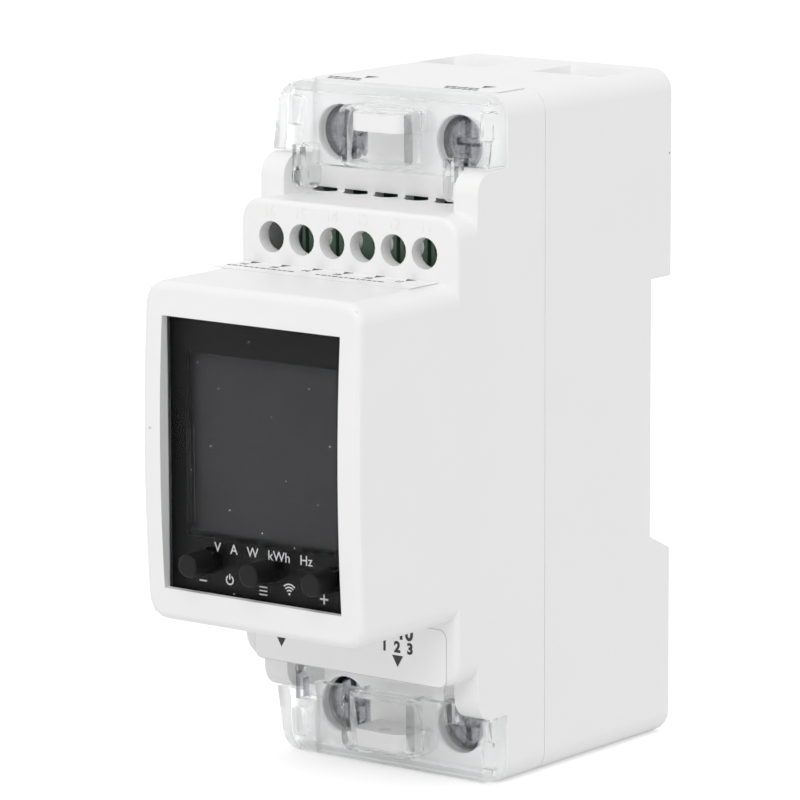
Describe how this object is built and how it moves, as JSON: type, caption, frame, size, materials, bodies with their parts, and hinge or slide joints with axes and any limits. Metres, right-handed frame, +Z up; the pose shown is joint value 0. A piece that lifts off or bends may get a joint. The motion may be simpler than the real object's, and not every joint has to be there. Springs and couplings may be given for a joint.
{
  "type": "din rail energy meter",
  "caption": "Stepped light grey housing for a mounting rail, with a smoked display pane and push buttons, small terminals above it and clear hinged terminal covers at both ends.",
  "frame": {"origin": "middle of the bottom face of the overall box, on the surface that the meter stands on", "axes": "+X to the right seen from the front, -Y towards the front (the display), +Z up along the meter's height"},
  "size_m": [0.036, 0.0712, 0.092],
  "materials": {
    "housing": "light grey moulded, fine satin",
    "smoked_pane": "smoked, polished face",
    "clear_cover": "clear, polished",
    "black_plastic": "satin",
    "green_plastic": "satin",
    "zinc_steel": "zinc plated",
    "tinned_copper": "thinly tinned copper",
    "circuit_board": "solder-masked glass laminate",
    "display_glass": "polished",
    "white_plastic": "diffusing",
    "acrylic": "clear, polished",
    "clip_plastic": "satin",
    "film_case": "satin",
    "capacitor_sleeve": "shrunk sleeve",
    "winding_tape": "taped winding"
  },
  "bodies": {
    "case": {"backlight": "white_plastic", "bulk_capacitor": "capacitor_sleeve", "clip_spring": "zinc_steel", "comms_terminal_block": "green_plastic", "control_board": "circuit_board", "display_board": "circuit_board", "display_header": "black_plastic", "film_capacitor": "film_case", "front_shell": "housing", "latching_relay": "black_plastic", "lcd_panel": "display_glass", "left_led": "white_plastic", "left_light_pipe": "acrylic", "left_switch": "black_plastic", "lower_left_busbar": "tinned_copper", "lower_right_busbar": "tinned_copper", "lower_terminal_carrier": "black_plastic", "middle_switch": "black_plastic", "power_board": "circuit_board", "power_header": "black_plastic", "radio_module": "circuit_board", "rear_shell": "housing", "right_led": "white_plastic", "right_light_pipe": "acrylic", "right_switch": "black_plastic", "shunt": "tinned_copper", "supply_transformer": "winding_tape", "upper_left_busbar": "tinned_copper", "upper_right_busbar": "tinned_copper", "upper_terminal_carrier": "black_plastic", "window_lens": "smoked_pane"},
    "upper_cover": {"upper_cover": "clear_cover"},
    "lower_cover": {"lower_cover": "clear_cover"},
    "clip": {"rail_clip": "clip_plastic"},
    "left_button": {"left_button": "black_plastic"},
    "middle_button": {"middle_button": "black_plastic"},
    "right_button": {"right_button": "black_plastic"},
    "upper_left_screw": {"upper_left_screw": "zinc_steel"},
    "upper_left_cage": {"upper_left_cage": "zinc_steel"},
    "upper_right_screw": {"upper_right_screw": "zinc_steel"},
    "upper_right_cage": {"upper_right_cage": "zinc_steel"},
    "lower_left_screw": {"lower_left_screw": "zinc_steel"},
    "lower_left_cage": {"lower_left_cage": "zinc_steel"},
    "lower_right_screw": {"lower_right_screw": "zinc_steel"},
    "lower_right_cage": {"lower_right_cage": "zinc_steel"},
    "comms_screw_1": {"comms_screw_1": "zinc_steel"},
    "comms_screw_2": {"comms_screw_2": "zinc_steel"},
    "comms_screw_3": {"comms_screw_3": "zinc_steel"},
    "comms_screw_4": {"comms_screw_4": "zinc_steel"},
    "comms_screw_5": {"comms_screw_5": "zinc_steel"}
  },
  "joints": [
    {"name": "upper_cover_hinge", "type": "hinge", "parent": "case", "child": "upper_cover", "pos_m": [0, -0.00565, 0.0794], "axis": [1, 0, 0], "range_deg": [0, 95]},
    {"name": "lower_cover_hinge", "type": "hinge", "parent": "case", "child": "lower_cover", "pos_m": [0, -0.00565, 0.0126], "axis": [-1, 0, 0], "range_deg": [0, 95]},
    {"name": "clip_slide", "type": "slide", "parent": "case", "child": "clip", "axis": [0, 0, -1], "range_m": [0, 0.003], "stiffness_N_per_m": 2000, "springref_m": -0.001, "deforming": ["clip_spring"]},
    {"name": "left_button_press", "type": "slide", "parent": "case", "child": "left_button", "axis": [0, 1, 0], "range_m": [0, 0.0005], "stiffness_N_per_m": 1500},
    {"name": "middle_button_press", "type": "slide", "parent": "case", "child": "middle_button", "axis": [0, 1, 0], "range_m": [0, 0.0005], "stiffness_N_per_m": 1500},
    {"name": "right_button_press", "type": "slide", "parent": "case", "child": "right_button", "axis": [0, 1, 0], "range_m": [0, 0.0005], "stiffness_N_per_m": 1500},
    {"name": "upper_left_screw_turn", "type": "hinge", "parent": "case", "child": "upper_left_screw", "pos_m": [-0.0099, 0.00035, 0.085], "axis": [0, 1, 0], "range_deg": [0, 2700]},
    {"name": "upper_left_cage_slide", "type": "slide", "parent": "case", "child": "upper_left_cage", "axis": [0, -1, 0], "range_m": [0, 0.006]},
    {"name": "upper_right_screw_turn", "type": "hinge", "parent": "case", "child": "upper_right_screw", "pos_m": [0.0099, 0.00035, 0.085], "axis": [0, 1, 0], "range_deg": [0, 2700]},
    {"name": "upper_right_cage_slide", "type": "slide", "parent": "case", "child": "upper_right_cage", "axis": [0, -1, 0], "range_m": [0, 0.006]},
    {"name": "lower_left_screw_turn", "type": "hinge", "parent": "case", "child": "lower_left_screw", "pos_m": [-0.0099, 0.00035, 0.007], "axis": [0, 1, 0], "range_deg": [0, 2700]},
    {"name": "lower_left_cage_slide", "type": "slide", "parent": "case", "child": "lower_left_cage", "axis": [0, -1, 0], "range_m": [0, 0.006]},
    {"name": "lower_right_screw_turn", "type": "hinge", "parent": "case", "child": "lower_right_screw", "pos_m": [0.0099, 0.00035, 0.007], "axis": [0, 1, 0], "range_deg": [0, 2700]},
    {"name": "lower_right_cage_slide", "type": "slide", "parent": "case", "child": "lower_right_cage", "axis": [0, -1, 0], "range_m": [0, 0.006]},
    {"name": "comms_screw_1_turn", "type": "hinge", "parent": "case", "child": "comms_screw_1", "pos_m": [-0.00762, -0.00775, 0.0721], "axis": [0, 1, 0], "range_deg": [0, 1440]},
    {"name": "comms_screw_2_turn", "type": "hinge", "parent": "case", "child": "comms_screw_2", "pos_m": [-0.00254, -0.00775, 0.0721], "axis": [0, 1, 0], "range_deg": [0, 1440]},
    {"name": "comms_screw_3_turn", "type": "hinge", "parent": "case", "child": "comms_screw_3", "pos_m": [0.00254, -0.00775, 0.0721], "axis": [0, 1, 0], "range_deg": [0, 1440]},
    {"name": "comms_screw_4_turn", "type": "hinge", "parent": "case", "child": "comms_screw_4", "pos_m": [0.00762, -0.00775, 0.0721], "axis": [0, 1, 0], "range_deg": [0, 1440]},
    {"name": "comms_screw_5_turn", "type": "hinge", "parent": "case", "child": "comms_screw_5", "pos_m": [0.0127, -0.00775, 0.0721], "axis": [0, 1, 0], "range_deg": [0, 1440]}
  ],
  "couplings": [
    {"joint": "upper_left_screw_turn", "follows": "upper_left_cage_slide", "rad_per_m": 7854},
    {"joint": "upper_right_screw_turn", "follows": "upper_right_cage_slide", "rad_per_m": 7854},
    {"joint": "lower_left_screw_turn", "follows": "lower_left_cage_slide", "rad_per_m": 7854},
    {"joint": "lower_right_screw_turn", "follows": "lower_right_cage_slide", "rad_per_m": 7854}
  ]
}
